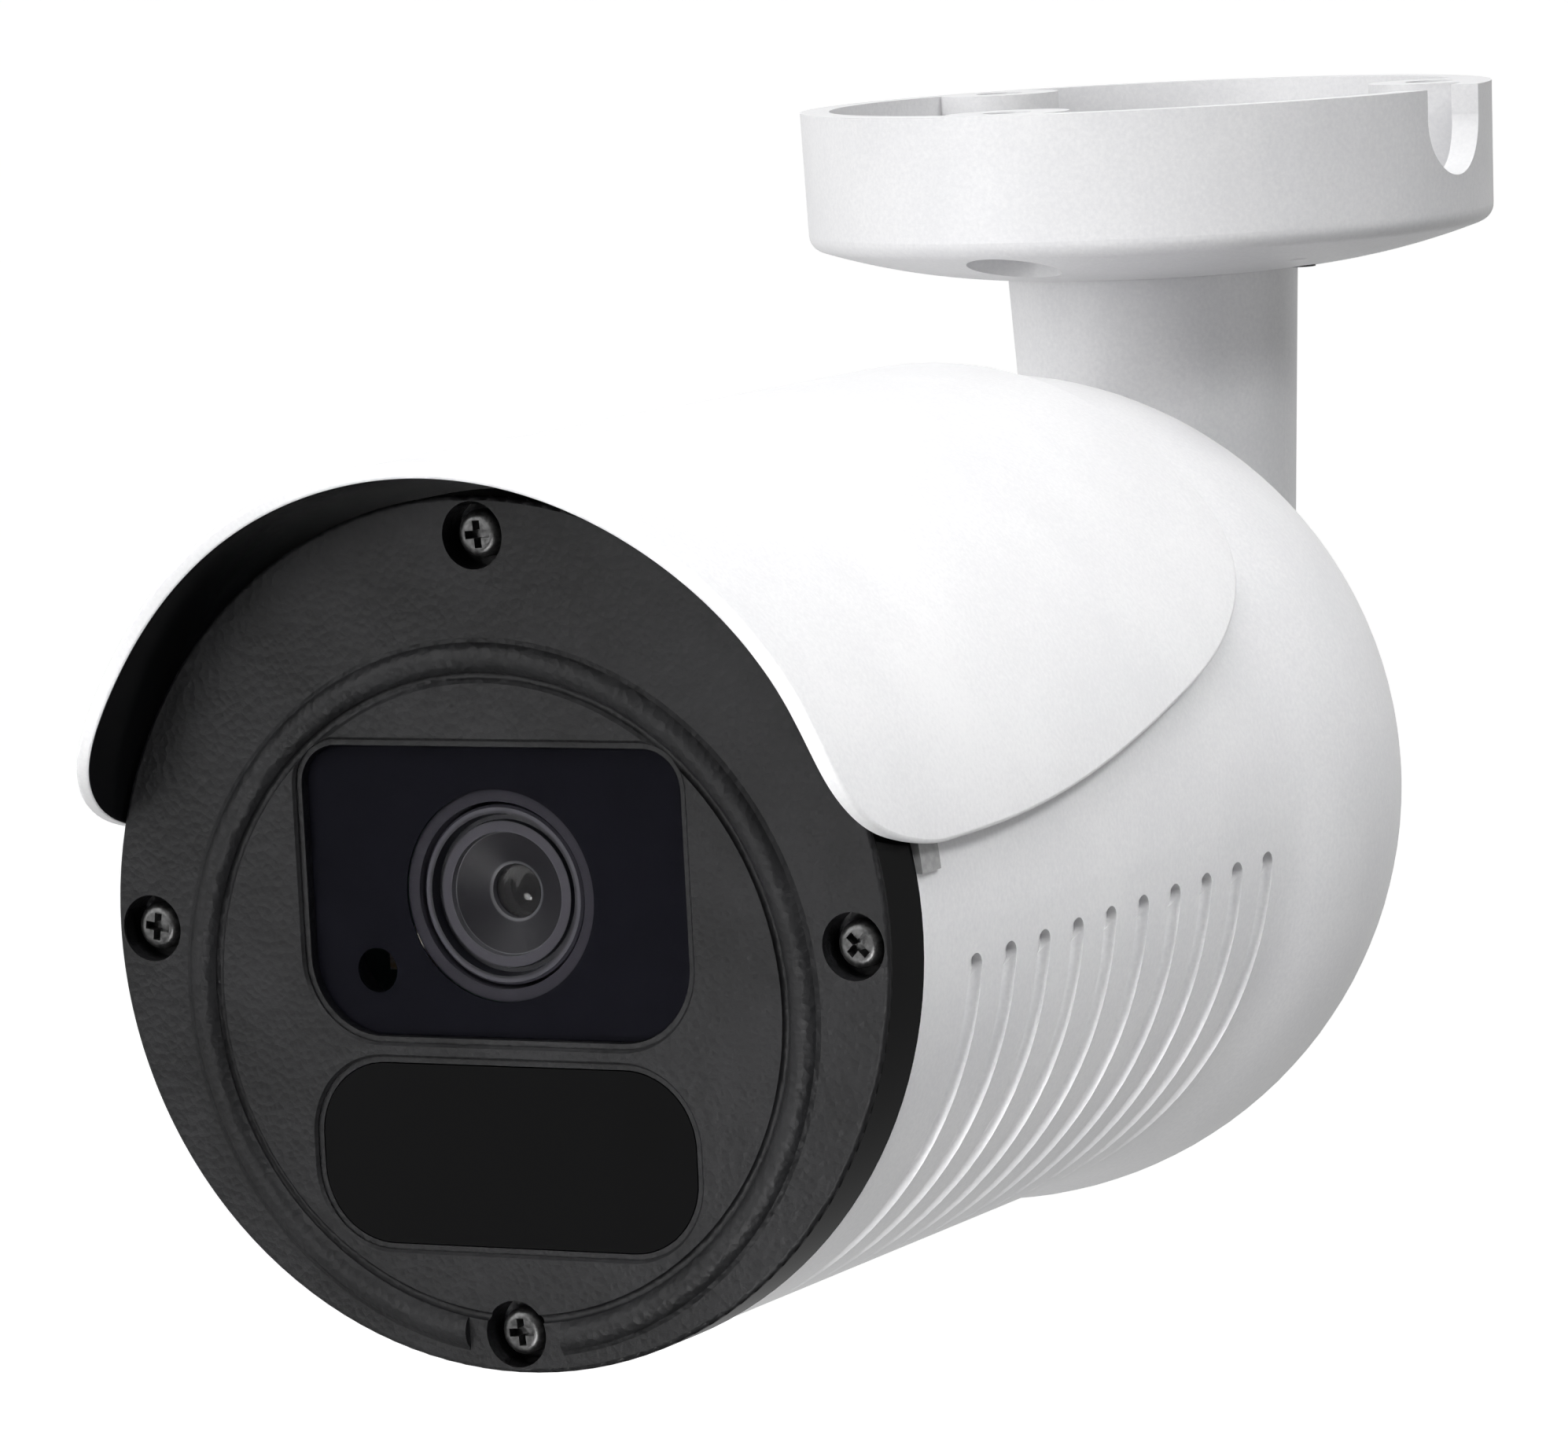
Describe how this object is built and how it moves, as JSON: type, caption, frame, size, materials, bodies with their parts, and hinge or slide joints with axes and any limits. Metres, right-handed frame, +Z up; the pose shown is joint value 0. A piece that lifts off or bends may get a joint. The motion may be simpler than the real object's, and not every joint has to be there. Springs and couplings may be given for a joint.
{
  "type": "security camera",
  "caption": "Bullet security camera with a sunshield, dark front cap and twin windows, hung from a ceiling base on a neck that pans, tilts and rolls.",
  "frame": {"origin": "centre of the base's mounting face, in the plane of the ceiling", "axes": "+Z up into the ceiling, -Y the way the lens looks, +X on the right of someone who faces the lens"},
  "size_m": [0.0732, 0.1679, 0.0956],
  "materials": {
    "white_paint": "satin powder coat with a fine grain",
    "black_cap": "matt textured black powder coat",
    "dark_screw": "blackened steel",
    "steel": "zinc plated",
    "window_glass": "smoke-tinted, polished",
    "ir_glass": "infrared-pass dark tint, polished",
    "mask_film": "printed black film",
    "rubber": "matt",
    "lens_black": "black anodised",
    "lens_glass": "coated optical glass",
    "filter_glass": "coated flat glass",
    "board": "solder-masked laminate",
    "chip": "moulded epoxy",
    "sensor_face": "glass-covered silicon",
    "led": "domed resin on a ceramic base",
    "reflector": "mirror metallised",
    "plated": "plain cast",
    "pad": "soft silicone",
    "copper": "enamelled winding",
    "black_plastic": "moulded",
    "washer": "low-friction polymer"
  },
  "bodies": {
    "base": {"base_shell": "white_paint", "clamp_plate": "steel", "pan_friction_ring": "washer", "clamp_plate_screws": "steel", "pan_lock_screw": "dark_screw"},
    "arm": {"neck": "white_paint", "hinge_bolt": "steel", "hinge_nut": "steel", "tilt_washers": "washer"},
    "tail": {"tail_knuckle": "white_paint", "tail_nut": "steel", "tail_spring_washer": "steel", "tail_seal": "rubber"},
    "camera": {"housing": "white_paint", "sunshield": "white_paint", "sunshield_screws": "steel", "sunshield_screw_seals": "rubber", "sunshield_pads": "pad", "cable_gland": "rubber", "front_cap": "black_cap", "front_cap_screws": "dark_screw", "cap_oring": "rubber", "lens_window": "window_glass", "window_mask": "mask_film", "lens_window_seal": "rubber", "ir_window": "ir_glass", "ir_window_seal": "rubber", "lens_barrel": "lens_black", "lens_front_element": "lens_glass", "lens_rear_element": "lens_glass", "lens_holder": "black_plastic", "filter_case": "black_plastic", "filter_coil": "copper", "sensor_board": "board", "image_sensor": "sensor_face", "front_board": "board", "front_board_screws": "steel", "ir_leds": "led", "led_reflectors": "reflector", "light_sensor": "led", "light_baffle": "rubber", "chassis": "plated", "chassis_screws": "steel", "sensor_posts": "steel", "sensor_screws": "steel", "main_board": "board", "power_board": "board", "board_posts": "steel", "board_screws": "steel", "processor": "chip", "thermal_pad": "pad", "memory_chips": "chip", "connectors": "led", "network_transformer": "chip", "capacitors": "black_plastic", "power_coil": "copper", "ribbon_cable": "washer"},
    "filter_slide": {"filter_frame": "black_plastic", "filter_panes": "filter_glass"},
    "filter_rotor": {"filter_rotor": "black_plastic"}
  },
  "joints": [
    {"name": "pan", "type": "hinge", "parent": "base", "child": "arm", "pos_m": [0, 0, -0.013], "axis": [0, 0, 1], "range_deg": [-180, 180]},
    {"name": "tilt", "type": "hinge", "parent": "arm", "child": "tail", "pos_m": [0, 0.0062, -0.059], "axis": [1, 0, 0], "range_deg": [0, 90]},
    {"name": "roll", "type": "hinge", "parent": "tail", "child": "camera", "pos_m": [0, -0.01, -0.059], "axis": [0, 1, 0], "range_deg": [-180, 180]},
    {"name": "filter_shift", "type": "slide", "parent": "camera", "child": "filter_slide", "axis": [1, 0, 0], "range_m": [0, 0.0068]},
    {"name": "filter_turn", "type": "hinge", "parent": "camera", "child": "filter_rotor", "pos_m": [0, -0.0975, -0.0424], "axis": [0, -1, 0], "range_deg": [0, 54.2]}
  ],
  "couplings": [
    {"joint": "filter_turn", "follows": "filter_shift", "rad_per_m": 138.4}
  ]
}
